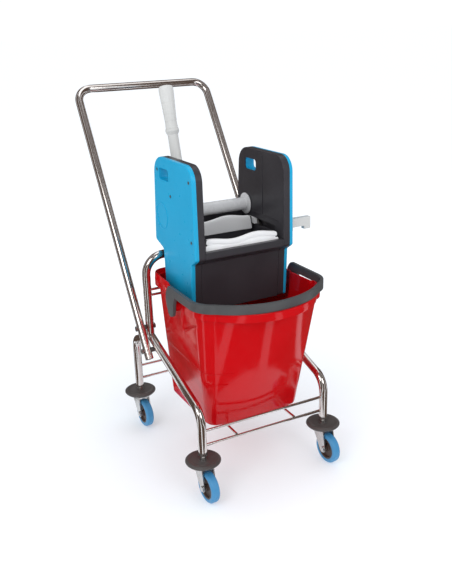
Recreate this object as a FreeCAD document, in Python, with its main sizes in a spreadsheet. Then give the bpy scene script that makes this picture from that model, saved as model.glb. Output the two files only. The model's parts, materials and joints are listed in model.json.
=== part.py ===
"""Single-bucket mopping trolley with a lever-operated mop wringer.

Frame: +Z up, +X to the right of the front, +Y towards the push handle.
The origin is on the floor below the middle of the trolley's outline.  Heights are from
the floor; Y sizes are from the middle of the wheelbase, and origin_y moves them.  Millimetres.
"""
import FreeCAD, Part
import math
import os
import Sketcher
from FreeCAD import Placement, Rotation, Vector

os.makedirs("parts", exist_ok=True)
doc = FreeCAD.newDocument("MopTrolley")

# ---------------------------------------------------------------- driving dimensions
SIZES = {
    # distance of the part's origin behind the middle of the wheelbase
    "origin_y": 97.1,
    # tubes and rods of the frame
    "tube_diameter": 22, "tube_wall": 1.5, "rod_diameter": 7,
    "stem_half_x": 175, "stem_half_y": 211, "leg_bottom": 120,
    "front_bend_radius": 50, "rear_bend_radius": 35, "arch_bend_radius": 50,
    "junction_z": 321, "rail_angle": 17, "rear_stay_angle": 25.3,
    "upright_y": 92.7, "arch_z": 539,
    "lower_rod_z": 141, "upper_rod_z": 180, "base_rod_half_x": 83,
    "cross_rod_low_z": 433, "cross_rod_high_z": 448,
    # push handle
    "handle_half_x": 200, "handle_angle": 33.5, "handle_foot_y": 45, "handle_foot_z": 274,
    "handle_length": 794, "handle_bend_radius": 40, "bolt_diameter": 8,
    "upper_bolt_z": 346, "lower_bolt_z": 294,
    # castors
    "wheel_radius": 40, "tyre_depth": 11, "tyre_width": 22, "castor_trail": 24,
    "castor_rest_angle": 3, "stem_diameter": 12, "disc_diameter": 88, "disc_z": 97,
    # bucket: plan sizes at the base, at the brim of the wall, and of the skirt around the brim
    "bucket_base_z": 152, "bucket_wall": 3, "brim_z": 490,
    "base_half_front": 130, "base_half_rear": 131, "base_nose": 173, "base_shoulder": 133,
    "base_round": 34, "base_rear": 84,
    "brim_half_front": 166, "brim_half_rear": 152, "brim_nose": 284, "brim_shoulder": 178,
    "brim_round": 60, "brim_rear": 88,
    "skirt_half_front": 169.5, "skirt_half_rear": 158, "skirt_nose": 300, "skirt_shoulder": 178,
    "skirt_round": 66, "skirt_rear": 104,
    "skirt_low_z": 464, "ledge_z": 484, "rear_rim_z": 499, "rear_rim_start": 20,
    # bail
    "bail_half_x": 178, "bail_nose": 294.7, "bail_shoulder": 178, "bail_round": 70, "bail_thickness": 8,
    "bail_low_z": 484.4, "bail_high_z": 506, "bail_pivot_y": 66, "bail_pivot_z": 455,
    "bail_pin_diameter": 14, "pad_skin": 2.5, "corner_turn": 62,
    # wringer housing
    "inner_face_x": 107, "joint_face_x": 124, "cover_face_x": 134, "sheet": 3,
    "wringer_low_z": 436, "wringer_top_z": 797, "front_face_y": 131,
    "rear_wall_y": 74, "rear_wall_top_z": 628,
    # press
    "shaft_y": 57, "shaft_z": 650, "bar_diameter": 33, "core_diameter": 16,
    "jaw_pin_y": 24, "jaw_pin_z": 612, "jaw_travel": 95, "lever_sweep": 60,
    "jaw_half_x": 99, "jaw_pin_diameter": 8, "cam_thickness": 5, "cam_margin": 10,
    "lever_x": 72, "lever_lean": 14.7, "lever_length": 316,
}

sheet = doc.addObject("Spreadsheet::Sheet", "Sizes")
for row, (alias, value) in enumerate(SIZES.items(), start=1):
    sheet.set(f"A{row}", alias)
    sheet.set(f"B{row}", str(value))
    sheet.setAlias(f"B{row}", alias)
doc.recompute()


class Cell:
    """A size that knows its value and the sheet expression that gives it."""

    def __init__(self, value, text):
        self.value = float(value)
        self.text = text

    def _join(self, other, sign, value):
        other = as_cell(other)
        return Cell(value(self.value, other.value), f"({self.text} {sign} {other.text})")

    def __add__(self, other):
        return self._join(other, "+", lambda a, b: a + b)

    def __sub__(self, other):
        return self._join(other, "-", lambda a, b: a - b)

    def __mul__(self, other):
        return self._join(other, "*", lambda a, b: a * b)

    def __truediv__(self, other):
        return self._join(other, "/", lambda a, b: a / b)

    def __radd__(self, other):
        return as_cell(other) + self

    def __rsub__(self, other):
        return as_cell(other) - self

    def __rmul__(self, other):
        return as_cell(other) * self

    def __neg__(self):
        return Cell(-self.value, f"(0 - {self.text})")

    def __float__(self):
        return self.value


def as_cell(value):
    return value if isinstance(value, Cell) else Cell(value, repr(float(value)))


def angle_function(name, function):
    def apply(degrees):
        degrees = as_cell(degrees)
        return Cell(function(math.radians(degrees.value)), f"{name}({degrees.text} * 1 deg)")
    return apply


tangent = angle_function("tan", math.tan)
S = {alias: Cell(sheet.get(alias), f"Sizes.{alias}") for alias in SIZES}
NODES = []


def bind(thing, **cells):
    """Bind properties of an object to sheet cells; PlacementX stands for Placement.Base.x and so on."""
    for name, cell in cells.items():
        cell = as_cell(cell)
        axis = {"X": "x", "Y": "y", "Z": "z"}.get(name)
        thing.setExpression(f"Placement.Base.{axis}" if axis else name, cell.text)


def node(thing, label):
    """Name a finished sub-part, which also names its file, and move it to the part's origin."""
    thing.Label = label
    bound = [text for path, text in thing.ExpressionEngine if path.lstrip(".") == "Placement.Base.y"]
    start = bound[0] if bound else repr(thing.Placement.Base.y)
    thing.setExpression("Placement.Base.y", f"({start}) - Sizes.origin_y")
    NODES.append(thing)
    return thing


# ---------------------------------------------------------------- Part primitives
TURN = {"Z": Rotation(), "X": Rotation(Vector(0, 1, 0), 90), "Y": Rotation(Vector(1, 0, 0), -90)}


def cylinder(radius, length, x=0.0, y=0.0, z=0.0, along="Z"):
    rod = doc.addObject("Part::Cylinder", "Cylinder")
    rod.Placement = Placement(Vector(float(x), float(y), float(z)), TURN[along])
    bind(rod, Radius=radius, Height=length, X=x, Y=y, Z=z)
    return rod


def box(length_x, length_y, length_z, x=0.0, y=0.0, z=0.0):
    block = doc.addObject("Part::Box", "Box")
    bind(block, Length=length_x, Width=length_y, Height=length_z, X=x, Y=y, Z=z)
    return block


def cut(base, *tools):
    for tool in tools:
        result = doc.addObject("Part::Cut", "Cut")
        result.Base = base
        result.Tool = tool
        base = result
    return base


def fuse(*shapes):
    result = doc.addObject("Part::MultiFuse", "Fusion")
    result.Shapes = list(shapes)
    return result


def group(*shapes):
    """Identical loose pieces that share one node."""
    result = doc.addObject("Part::Compound", "Compound")
    result.Links = list(shapes)
    return result


def feature(shape, name="Feature"):
    thing = doc.addObject("Part::Feature", name)
    thing.Shape = shape
    return thing


# ---------------------------------------------------------------- sketches and bodies
def new_sketch(body, role, offset=0.0):
    """A sketch on one of the body's own origin planes, moved along the plane's normal."""
    plane = next(item for item in body.Origin.OriginFeatures if item.Role == role)
    sketch = body.newObject("Sketcher::SketchObject", "Sketch")
    sketch.AttachmentSupport = [(plane, "")]
    sketch.MapMode = "FlatFace"
    sketch.AttachmentOffset = Placement(Vector(0, 0, float(offset)), Rotation())
    sketch.setExpression("AttachmentOffset.Base.z", as_cell(offset).text)
    doc.recompute()
    return sketch


def pin_point(sketch, index, point, corner):
    """Hold one point of the sketch at its sheet-driven coordinates."""
    for kind, cell in zip(("DistanceX", "DistanceY"), corner):
        cell = as_cell(cell)
        number = sketch.addConstraint(Sketcher.Constraint(kind, -1, 1, index, point, cell.value))
        if "Sizes" in cell.text:
            sketch.setExpression(f"Constraints[{number}]", cell.text)


def rounded_path(sketch, corners, radii, closed=False):
    """Straight runs joined by tangent arcs.  Corners and radii are cells; a radius of 0 is sharp."""
    points = [Vector(float(as_cell(u)), float(as_cell(v)), 0) for u, v in corners]
    count = len(points)
    stops = []
    for i in range(count):
        radius = float(as_cell(radii[i]))
        inner = closed or 0 < i < count - 1
        if radius <= 0 or not inner:
            stops.append((points[i], points[i], None))
            continue
        before = (points[i - 1] - points[i]).normalize()
        after = (points[(i + 1) % count] - points[i]).normalize()
        half = before.getAngle(after) / 2
        reach = radius / math.tan(half)
        middle = points[i] + (before + after).normalize() * (radius / math.sin(half))
        start = points[i] + before * reach
        end = points[i] + after * reach
        near = middle + (points[i] - middle).normalize() * radius
        stops.append((start, end, near))
    runs = range(count if closed else count - 1)
    lines = [sketch.addGeometry(Part.LineSegment(stops[i][1], stops[(i + 1) % count][0]), False) for i in runs]
    for i in range(count):
        start, end, near = stops[i]
        first_line = lines[i - 1] if (closed or i > 0) else None
        next_line = lines[i] if i < len(lines) else None
        if near is None:
            if first_line is not None and next_line is not None:
                sketch.addConstraint(Sketcher.Constraint("Coincident", first_line, 2, next_line, 1))
            index, point = (next_line, 1) if next_line is not None else (first_line, 2)
            pin_point(sketch, index, point, corners[i])
            continue
        arc = sketch.addGeometry(Part.Arc(start, near, end), False)
        ends = [sketch.getPoint(arc, 1), sketch.getPoint(arc, 2)]
        first = 1 if (ends[0] - start).Length < (ends[1] - start).Length else 2
        sketch.addConstraint(Sketcher.Constraint("Tangent", first_line, 2, arc, first))
        sketch.addConstraint(Sketcher.Constraint("Tangent", arc, 3 - first, next_line, 1))
        radius = as_cell(radii[i])
        number = sketch.addConstraint(Sketcher.Constraint("Radius", arc, radius.value))
        if "Sizes" in radius.text:
            sketch.setExpression(f"Constraints[{number}]", radius.text)
        corner = sketch.addGeometry(Part.Point(points[i]), True)
        sketch.addConstraint(Sketcher.Constraint("PointOnObject", corner, 1, first_line))
        sketch.addConstraint(Sketcher.Constraint("PointOnObject", corner, 1, next_line))
        pin_point(sketch, corner, 1, corners[i])
    return sketch


def circle(sketch, u, v, radius):
    index = sketch.addGeometry(Part.Circle(Vector(float(u), float(v), 0), Vector(0, 0, 1), float(radius)), False)
    pin_point(sketch, index, 3, (u, v))
    radius = as_cell(radius)
    number = sketch.addConstraint(Sketcher.Constraint("Radius", index, radius.value))
    if "Sizes" in radius.text:
        sketch.setExpression(f"Constraints[{number}]", radius.text)


def pad(body, sketch, length, reverse=False, symmetric=False):
    result = body.newObject("PartDesign::Pad", "Pad")
    result.Profile = sketch
    result.setExpression("Length", as_cell(length).text)
    result.Reversed = reverse
    result.Midplane = symmetric
    doc.recompute()
    return result


def pocket(body, sketch, reverse=False):
    """A through pocket, checked to have taken something away."""
    before = body.Shape.Volume
    result = body.newObject("PartDesign::Pocket", "Pocket")
    result.Profile = sketch
    result.Type = "ThroughAll"
    result.Midplane = True
    result.Reversed = reverse
    doc.recompute()
    if body.Shape.Volume > before - 0.01:
        raise RuntimeError(f"{body.Label}: a pocket cut nothing")
    return result


def revolve(label, corners, radii=None, along="Z"):
    """A turned piece: corners are (radius, height) cells; the axis is the body's own Z."""
    body = doc.addObject("PartDesign::Body", "Body")
    sketch = new_sketch(body, "XZ_Plane")
    rounded_path(sketch, corners, radii or [0] * len(corners), closed=True)
    turned = body.newObject("PartDesign::Revolution", "Revolution")
    turned.Profile = sketch
    turned.ReferenceAxis = (sketch, ["V_Axis"])
    turned.Angle = 360
    doc.recompute()
    body.Placement = Placement(Vector(), TURN[along])
    if label:
        node(body, label)
    return body


def tube(label, plane, offset, corners, radii, hollow=True):
    """A bent tube whose centre line starts upwards from its first corner."""
    body = doc.addObject("PartDesign::Body", "Body")
    path = new_sketch(body, plane, offset)
    rounded_path(path, corners, radii)
    start_z = corners[0][1]
    profile = new_sketch(body, "XY_Plane", start_z)
    if plane == "YZ_Plane":
        place = (offset, corners[0][0])
    else:
        place = (corners[0][0], -as_cell(offset))
    circle(profile, *place, S["tube_diameter"] / 2)
    if hollow:
        circle(profile, *place, S["tube_diameter"] / 2 - S["tube_wall"])
    pipe = body.newObject("PartDesign::AdditivePipe", "Pipe")
    pipe.Profile = profile
    pipe.Spine = path
    doc.recompute()
    if label:
        node(body, label)
    return body


# ---------------------------------------------------------------- frame
def side_rail_corners():
    """Centre line of a side rail in Y and Z: up the front leg, then back along the rising rail."""
    rise = tangent(S["rail_angle"])
    front_y = -S["stem_half_y"]
    rear_y = S["upright_y"] + S["tube_diameter"] / 2
    return [
        (front_y, S["leg_bottom"]),
        (front_y, S["junction_z"] - (S["stem_half_y"] + S["upright_y"]) * rise),
        (rear_y, S["junction_z"] + S["tube_diameter"] / 2 * rise),
    ]


def rear_leg_corners():
    """Centre line of a rear leg: up from the castor, then forward up to the junction."""
    drop = (S["stem_half_y"] - S["upright_y"]) * tangent(S["rear_stay_angle"])
    return [
        (S["stem_half_y"], S["leg_bottom"]),
        (S["stem_half_y"], S["junction_z"] - drop),
        (S["upright_y"], S["junction_z"]),
    ]


def build_frame():
    radius = S["tube_diameter"] / 2
    solid = {}
    for side, sign in (("left", -1), ("right", 1)):
        x = S["stem_half_x"] * sign
        tube(f"{side}_side_rail", "YZ_Plane", x, side_rail_corners(), [0, S["front_bend_radius"], 0])
        solid[side] = tube(None, "YZ_Plane", x, side_rail_corners(), [0, S["front_bend_radius"], 0], hollow=False)
    half = S["stem_half_x"]
    span = half * 2
    arch_corners = [
        (-half, S["junction_z"]), (-half, S["arch_z"]), (half, S["arch_z"]), (half, S["junction_z"]),
    ]
    arch_radii = [0, S["arch_bend_radius"], S["arch_bend_radius"], 0]
    arch = tube(None, "XZ_Plane", -S["upright_y"], arch_corners, arch_radii)
    arch_solid = tube(None, "XZ_Plane", -S["upright_y"], arch_corners, arch_radii, hollow=False)
    bolt_hole = cylinder(S["bolt_diameter"] / 2, span + 40, -half - 20, S["upright_y"], S["upper_bolt_z"], "X")
    node(cut(arch, solid["left"], solid["right"], bolt_hole), "upright_arch")
    for side, sign in (("left", -1), ("right", 1)):
        leg = tube(None, "YZ_Plane", S["stem_half_x"] * sign, rear_leg_corners(), [0, S["rear_bend_radius"], 0])
        node(cut(leg, solid[side], arch_solid), f"{side}_rear_leg")
    legs = [
        cylinder(radius, S["arch_z"], S["stem_half_x"] * sx, S["stem_half_y"] * sy, 0)
        for sx in (-1, 1) for sy in (-1, 1)
    ]
    rod = S["rod_diameter"] / 2
    for label, sy in (("front_rods", -1), ("rear_rods", 1)):
        rods = []
        for height in (S["lower_rod_z"], S["upper_rod_z"]):
            bar = cylinder(rod, span, -S["stem_half_x"], S["stem_half_y"] * sy, height, along="X")
            rods.append(cut(bar, *legs))
        node(group(*rods), label)
    base_length = S["stem_half_y"] * 2 + S["rod_diameter"]
    base_rods = [
        cylinder(rod, base_length, S["base_rod_half_x"] * sx, -base_length / 2,
                 S["lower_rod_z"] + S["rod_diameter"], along="Y")
        for sx in (-1, 1)
    ]
    node(group(*base_rods), "base_rods")
    cross = []
    for height in (S["cross_rod_low_z"], S["cross_rod_high_z"]):
        bar = cylinder(rod, span, -S["stem_half_x"], S["upright_y"], height, along="X")
        cross.append(cut(bar, arch_solid))
    node(group(*cross), "cross_rods")
    return arch_solid, solid


def build_push_handle(arch_solid, rails):
    """An upside-down U of tube, built upright and leaned back by its placement, and its bolts."""
    half = S["handle_half_x"]
    corners = [(-half, 0), (-half, S["handle_length"]), (half, S["handle_length"]), (half, 0)]
    bend = S["handle_bend_radius"]
    handle = tube(None, "XZ_Plane", 0.0, corners, [0, bend, bend, 0])
    handle_solid = tube(None, "XZ_Plane", 0.0, corners, [0, bend, bend, 0], hollow=False)
    for body in (handle, handle_solid):
        body.Placement = Placement(Vector(), Rotation(Vector(-1, 0, 0), float(S["handle_angle"])))
        body.setExpression("Placement.Rotation.Angle", S["handle_angle"].text)
        bind(body, Y=S["handle_foot_y"], Z=S["handle_foot_z"])
    lean = tangent(S["handle_angle"])
    bolt_radius = S["bolt_diameter"] / 2
    shank_start = S["stem_half_x"] - S["tube_diameter"] / 2 - 4
    head_start = S["handle_half_x"] + S["tube_diameter"] / 2
    upper = (S["upright_y"], S["upper_bolt_z"])
    lower = (S["handle_foot_y"] + (S["lower_bolt_z"] - S["handle_foot_z"]) * lean, S["lower_bolt_z"])
    lug_x = S["stem_half_x"]
    bolts, nuts, spacers, holes, lugs = [], [], [], [], []
    for sign in (-1, 1):
        for (y, z), start in ((upper, shank_start), (lower, lug_x - 5.8)):
            length = head_start - start
            left_end = start if sign > 0 else -head_start
            shank = cylinder(bolt_radius, length, left_end, y, z, along="X")
            head = cylinder(bolt_radius + 3, 4, head_start if sign > 0 else -head_start - 4, y, z, along="X")
            bolts.append(fuse(shank, head))
            holes.append(cylinder(bolt_radius, length, left_end, y, z, along="X"))
            nut_inner = start + 0.5
            nut = cylinder(bolt_radius + 3, 3.2, nut_inner if sign > 0 else -nut_inner - 3.2, y, z, along="X")
            nuts.append(cut(nut, cylinder(bolt_radius, 20, nut_inner * sign - 10, y, z, along="X"),
                            rails["left"], rails["right"]))
            gap_start = S["stem_half_x"] + (S["tube_diameter"] / 2 if z is upper[1] else 2)
            spacer = cylinder(bolt_radius + 2.5, S["handle_half_x"] - gap_start,
                              gap_start if sign > 0 else -S["handle_half_x"], y, z, along="X")
            bore = cylinder(bolt_radius, 60, S["stem_half_x"] * sign - 30, y, z, along="X")
            spacers.append(cut(spacer, bore, handle_solid, arch_solid, rails["left"], rails["right"]))
        lug = box(4, 26, 24, lug_x * sign - 2, lower[0] - 13, lower[1] - 8)
        bore = cylinder(bolt_radius, 60, S["stem_half_x"] * sign - 30, lower[0], lower[1], along="X")
        lugs.append(cut(lug, rails["left"], rails["right"], bore))
    node(cut(handle, *holes), "push_handle")
    node(group(*bolts), "handle_bolts")
    node(group(*nuts), "handle_nuts")
    node(group(*spacers), "handle_spacers")
    node(group(*lugs), "rail_lugs")


# ---------------------------------------------------------------- castors
def build_castor_tops():
    """Everything above the swivel that stays with the legs: sockets, stems and discs."""
    stem = S["stem_diameter"] / 2
    bore = S["tube_diameter"] / 2 - S["tube_wall"]
    sockets, stems, discs = [], [], []
    disc_radius = S["disc_diameter"] / 2
    for sx in (-1, 1):
        for sy in (-1, 1):
            x, y = S["stem_half_x"] * sx, S["stem_half_y"] * sy
            plug = cylinder(bore, 34, x, y, S["leg_bottom"])
            collar = cylinder(S["tube_diameter"] / 2, 3, x, y, S["leg_bottom"] - 3)
            sockets.append(cut(fuse(plug, collar), cylinder(stem, 60, x, y, S["leg_bottom"] - 10)))
            shank = cylinder(stem, S["leg_bottom"] + 28 - 82, x, y, 82)
            foot = cylinder(stem + 4, 2.5, x, y, 82)
            ring = cylinder(stem + 2.5, 6, x, y, S["disc_z"] + 9)
            race = cylinder(18, 5.7, x, y, 91.3)
            stems.append(fuse(shank, foot, ring, race))
            disc = revolve(None, [
                (stem, S["disc_z"]), (disc_radius - 4, S["disc_z"]), (disc_radius, S["disc_z"] + 4),
                (disc_radius, S["disc_z"] + 7), (disc_radius - 5, S["disc_z"] + 10.5),
                (disc_radius - 14, S["disc_z"] + 9), (stem, S["disc_z"] + 9),
            ], [0, 0, 3, 3, 3, 0, 0])
            bind(disc, X=x, Y=y)
            discs.append(disc)
    node(group(*sockets), "leg_sockets")
    node(group(*stems), "castor_stems")
    node(group(*discs), "buffer_discs")


def castor_placement(x, y):
    return Placement(Vector(float(x), float(y), 0), Rotation(Vector(0, 0, 1), float(S["castor_rest_angle"])))


def place_castor_piece(piece, x, y, label):
    piece.Placement = castor_placement(x, y).multiply(piece.Placement)
    node(piece, label)


def castor_fork():
    """Round head with two tapered cheeks that carry the axle behind the swivel axis."""
    trail, wheel = float(S["castor_trail"]), float(S["wheel_radius"])
    body = doc.addObject("PartDesign::Body", "Body")
    cheeks = new_sketch(body, "YZ_Plane")
    rounded_path(cheeks, [
        (-22, 90.5), (-S["castor_trail"] - 10, S["wheel_radius"] - 10),
        (-S["castor_trail"] + 10, S["wheel_radius"] - 10), (20, 84.8), (20, 90.5),
    ], [0, 9, 9, 3, 0], closed=True)
    pad(body, cheeks, 34, symmetric=True)
    gap = new_sketch(body, "XZ_Plane")
    rounded_path(gap, [(-14, 0), (14, 0), (14, 87), (-14, 87)], [0, 0, 2, 2], closed=True)
    pocket(body, gap)
    head = cylinder(21, 5.7, 0, 0, 84.8)
    king = cylinder(S["stem_diameter"] / 2 + 0.05, 20, 0, 0, 80)
    rivet_room = cylinder(S["stem_diameter"] / 2 + 4.4, 3.1, 0, 0, 81.7)
    axle = cylinder(4, 60, -30, -trail, wheel, along="X")
    return cut(fuse(body, head), king, rivet_room, axle)


def castor_axle():
    trail, wheel = float(S["castor_trail"]), float(S["wheel_radius"])
    shank = cylinder(4, 39, -20, -trail, wheel, along="X")
    head = cylinder(7, 4, -21, -trail, wheel, along="X")
    nut = cylinder(6.5, 4, 17, -trail, wheel, along="X")
    sleeves = [cylinder(6, 3.4, start, -trail, wheel, along="X") for start in (-14, 10.6)]
    return fuse(shank, head, nut, *sleeves)


def on_axle(body):
    """Lay a piece turned about Z on the castor's axle."""
    trail, wheel = float(S["castor_trail"]), float(S["wheel_radius"])
    body.Placement = Placement(Vector(0, -trail, wheel), TURN["X"])
    return body


def castor_hub():
    rim = S["wheel_radius"] - S["tyre_depth"]
    half = S["tyre_width"] / 2
    return on_axle(revolve(None, [
        (4.05, -10.3), (9, -10.3), (9, -5), (rim - 6, -5), (rim - 4, 1 - half), (rim, 1 - half),
        (rim, half - 1), (rim - 4, half - 1), (rim - 6, 5), (9, 5), (9, 10.3), (4.05, 10.3),
    ], [0, 1, 2, 2, 0, 0, 0, 0, 2, 2, 1, 0]))


def castor_tyre():
    rim = S["wheel_radius"] - S["tyre_depth"]
    half = S["tyre_width"] / 2
    return on_axle(revolve(None, [
        (rim, 1 - half), (rim + 2, -half), (S["wheel_radius"] - 4, -half), (S["wheel_radius"], 4 - half),
        (S["wheel_radius"], half - 4), (S["wheel_radius"] - 4, half), (rim + 2, half), (rim, half - 1),
    ], [0, 0, 5, 4, 4, 5, 0, 0]))


def build_castors():
    build_castor_tops()
    for end, sy in (("front", -1), ("rear", 1)):
        for side, sx in (("left", -1), ("right", 1)):
            x, y = S["stem_half_x"] * sx, S["stem_half_y"] * sy
            for piece, make in (("fork", castor_fork), ("axle", castor_axle),
                                ("hub", castor_hub), ("tyre", castor_tyre)):
                place_castor_piece(make(), x, y, f"{end}_{side}_{piece}")


# ---------------------------------------------------------------- bucket and bail
def half_outline(half_front, half_rear, nose, shoulder, corner_round, rear, z, rear_round=28.0):
    """Right half of a plan outline, from the middle of the nose round to the middle of the rear.

    The side turns through corner_turn degrees at the shoulder, and a wide bow joins both shoulders.
    """
    turn = math.radians(float(S["corner_turn"]))
    centre = (half_front - corner_round, -shoulder)
    corner = (centre[0] + corner_round * math.cos(turn), centre[1] - corner_round * math.sin(turn))
    middle = (centre[0] + corner_round * math.cos(turn / 2), centre[1] - corner_round * math.sin(turn / 2))
    sagitta = nose + corner[1]
    bow = (corner[0] ** 2 + sagitta ** 2) / (2 * sagitta)
    part = math.asin(corner[0] / bow) / 2
    bow_middle = (bow * math.sin(part), -nose + bow * (1 - math.cos(part)))
    quarter = rear_round * math.sqrt(0.5)
    rear_centre = (half_rear - rear_round, rear - rear_round)
    return [
        ("arc", (0, -nose), bow_middle, corner),
        ("arc", corner, middle, (half_front, -shoulder)),
        ("line", (half_front, -shoulder), None, (half_rear, rear_centre[1])),
        ("arc", (half_rear, rear_centre[1]), (rear_centre[0] + quarter, rear_centre[1] + quarter),
         (rear_centre[0], rear)),
        ("line", (rear_centre[0], rear), None, (0, rear)),
    ]


def plan_outline(*sizes, **more):
    """Closed plan outline, symmetric about the Y axis."""
    z = sizes[6]
    right = half_outline(*sizes, **more)
    left = [(kind, end, middle, start) for kind, start, middle, end in reversed(right)]
    edges = []
    for sign, half in ((1, right), (-1, left)):
        for kind, *points in half:
            start, middle, end = (point and Vector(point[0] * sign, point[1], z) for point in points)
            curve = Part.Arc(start, middle, end) if kind == "arc" else Part.LineSegment(start, end)
            edges.append(curve.toShape())
    return Part.Wire(edges)


def named_outline(name, z, inset=0.0, **more):
    """The outline whose sizes start with the given name, drawn in by inset."""
    half_front, half_rear, nose, shoulder, corner_round, rear = (
        float(S[f"{name}_{part}"]) for part in ("half_front", "half_rear", "nose", "shoulder", "round", "rear"))
    return plan_outline(half_front - inset, half_rear - inset, nose - inset, shoulder,
                        corner_round - inset, rear - inset, z, **more)


def prism(outline, height):
    return Part.Face(outline).extrude(Vector(0, 0, height))


def bucket_inside(wall):
    low, brim = float(S["bucket_base_z"]), float(S["brim_z"])
    floor = named_outline("base", low + wall, wall)
    mouth = named_outline("brim", brim + 0.01, wall)
    above = named_outline("brim", brim, wall)
    return Part.makeLoft([floor, mouth], True, True).fuse(prism(above, 60))


def build_bucket():
    low, brim = float(S["bucket_base_z"]), float(S["brim_z"])
    ledge, skirt_low, rear_top = float(S["ledge_z"]), float(S["skirt_low_z"]), float(S["rear_rim_z"])
    wall = float(S["bucket_wall"])
    outside = Part.makeLoft([named_outline("base", low), named_outline("brim", brim)], True, True)
    skirt = prism(named_outline("skirt", skirt_low, rear_round=34), ledge - skirt_low)
    hollow = prism(named_outline("skirt", skirt_low - 1, 2.5, rear_round=32), ledge - skirt_low - 1.5)
    # along the sides the skirt is only a narrow flange
    side_gap = Part.makeBox(500, 170, 12, Vector(-250, -195, skirt_low - 0.5))
    flange = skirt.cut(hollow).cut(side_gap)
    behind = Part.makeBox(500, 300, 60, Vector(-250, -float(S["rear_rim_start"]), ledge - 1))
    rear_rim = prism(named_outline("skirt", ledge - 0.5, 1.5, rear_round=32), rear_top - ledge + 0.5)
    rear_hollow = prism(named_outline("skirt", ledge - 2, 4.5, rear_round=30), rear_top - ledge)
    rear_rim = rear_rim.cut(rear_hollow).common(behind)
    inside = bucket_inside(wall)
    body = outside.fuse([flange, rear_rim]).cut(inside)
    pin_y, pin_z = -float(S["bail_pivot_y"]), float(S["bail_pivot_z"])
    boss_face = float(S["skirt_half_front"])
    for sign in (-1, 1):
        boss = Part.makeCylinder(15, 16, Vector((boss_face - 16) * sign, pin_y, pin_z), Vector(sign, 0, 0))
        bore = Part.makeCylinder(float(S["bail_pin_diameter"]) / 2, 40,
                                 Vector((boss_face - 14) * sign, pin_y, pin_z), Vector(sign, 0, 0))
        body = body.fuse(boss.cut(inside)).cut(bore)
    node(feature(body.removeSplitter(), "Bucket"), "bucket")


def build_bail():
    """A flat band that lies on the ledge of the rim, with a round-ended pad at each pivot."""
    half_x, nose, shoulder, bend = (
        float(S[f"bail_{part}"]) for part in ("half_x", "nose", "shoulder", "round"))
    thick = float(S["bail_thickness"])
    low, high = float(S["bail_low_z"]), float(S["bail_high_z"])
    pin_y, pin_z = -float(S["bail_pivot_y"]), float(S["bail_pivot_z"])
    outer = prism(plan_outline(half_x, half_x, nose, shoulder, bend, 60, low), high - low)
    inner = prism(plan_outline(half_x - thick, half_x - thick, nose - thick, shoulder, bend - thick, 59, low - 1),
                  high - low + 2)
    keep = Part.makeBox(500, 400 + pin_y, 80, Vector(-250, -400, low - 5))
    band = outer.cut(inner).common(keep)
    pieces = [band]
    face = float(S["skirt_half_front"]) + 0.4
    for sign in (-1, 1):

        def at(y, z):
            return Vector(face * sign, pin_y + y, z)

        front_top, rear_top = at(-42, high), at(4, high)
        front_low, rear_low = at(-15, pin_z - 14), at(17, pin_z - 12)
        outline = Part.Wire([
            Part.LineSegment(front_top, rear_top).toShape(),
            Part.Arc(rear_top, at(25, pin_z + 16), rear_low).toShape(),
            Part.Arc(rear_low, at(2, pin_z - 27), front_low).toShape(),
            Part.Arc(front_low, at(-23, pin_z + 18), front_top).toShape(),
        ])
        pieces.append(Part.Face(outline).extrude(Vector((half_x - face) * sign, 0, 0)))
    bail = pieces[0].fuse(pieces[1:])
    # the bores are closed towards the outside, so that the pads snap over the studs of the bucket
    radius = float(S["bail_pin_diameter"]) / 2 + 0.08
    bore_start, bore_end = face - 20, half_x - float(S["pad_skin"])
    for sign in (-1, 1):
        bail = bail.cut(Part.makeCylinder(radius, bore_end - bore_start,
                                          Vector(bore_start * sign, pin_y, pin_z), Vector(sign, 0, 0)))
    node(feature(bail.removeSplitter(), "Bail"), "bail")
    pins = []
    for sign in (-1, 1):
        start = float(S["skirt_half_front"]) - 14
        end = S["bail_half_x"] - S["pad_skin"] - 0.4
        pins.append(cylinder(S["bail_pin_diameter"] / 2, end - start, start if sign > 0 else -end,
                             -S["bail_pivot_y"], S["bail_pivot_z"], "X"))
    node(group(*pins), "bail_pins")


# ---------------------------------------------------------------- wringer housing
def side_corners():
    """Side outline in Y and Z, from the front foot round over the top to the rear foot."""
    low, top, front = S["wringer_low_z"], S["wringer_top_z"], -S["front_face_y"]
    return [
        (front + 34, low), (front + 25, low + 125), (front, low + 141), (front, top),
        (92, top), (113, low + 141), (64, low + 126), (60, low),
    ]


SIDE_RADII = [8, 6, 8, 38, 45, 10, 8, 8]
SIDE_RADII_INNER = [5, 9, 5, 35, 42, 7, 11, 5]


def inset_corners(amount):
    """The same outline drawn in by amount, corner by corner."""
    points = [Vector(float(as_cell(y)), float(as_cell(z)), 0) for y, z in side_corners()]
    result = []
    count = len(points)
    for i in range(count):
        before = (points[i] - points[i - 1]).normalize()
        after = (points[(i + 1) % count] - points[i]).normalize()
        turn = before.x * after.y - before.y * after.x
        blend = (after - before) * (-1 if turn > 0 else 1)
        half = before.getAngle(after) / 2
        inward = blend.normalize() * (amount / math.cos(half))
        # the outline runs clockwise, so the inside lies to the right of each edge
        right = Vector(before.y, -before.x, 0)
        if right.dot(inward) < 0:
            inward = inward * -1
        moved = points[i] + inward
        result.append((moved.x, moved.y))
    return result


def hand_hole(sketch):
    rounded_path(sketch, [(4, 742), (61, 742), (61, 771), (4, 771)], [8, 8, 8, 8], closed=True)


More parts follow.
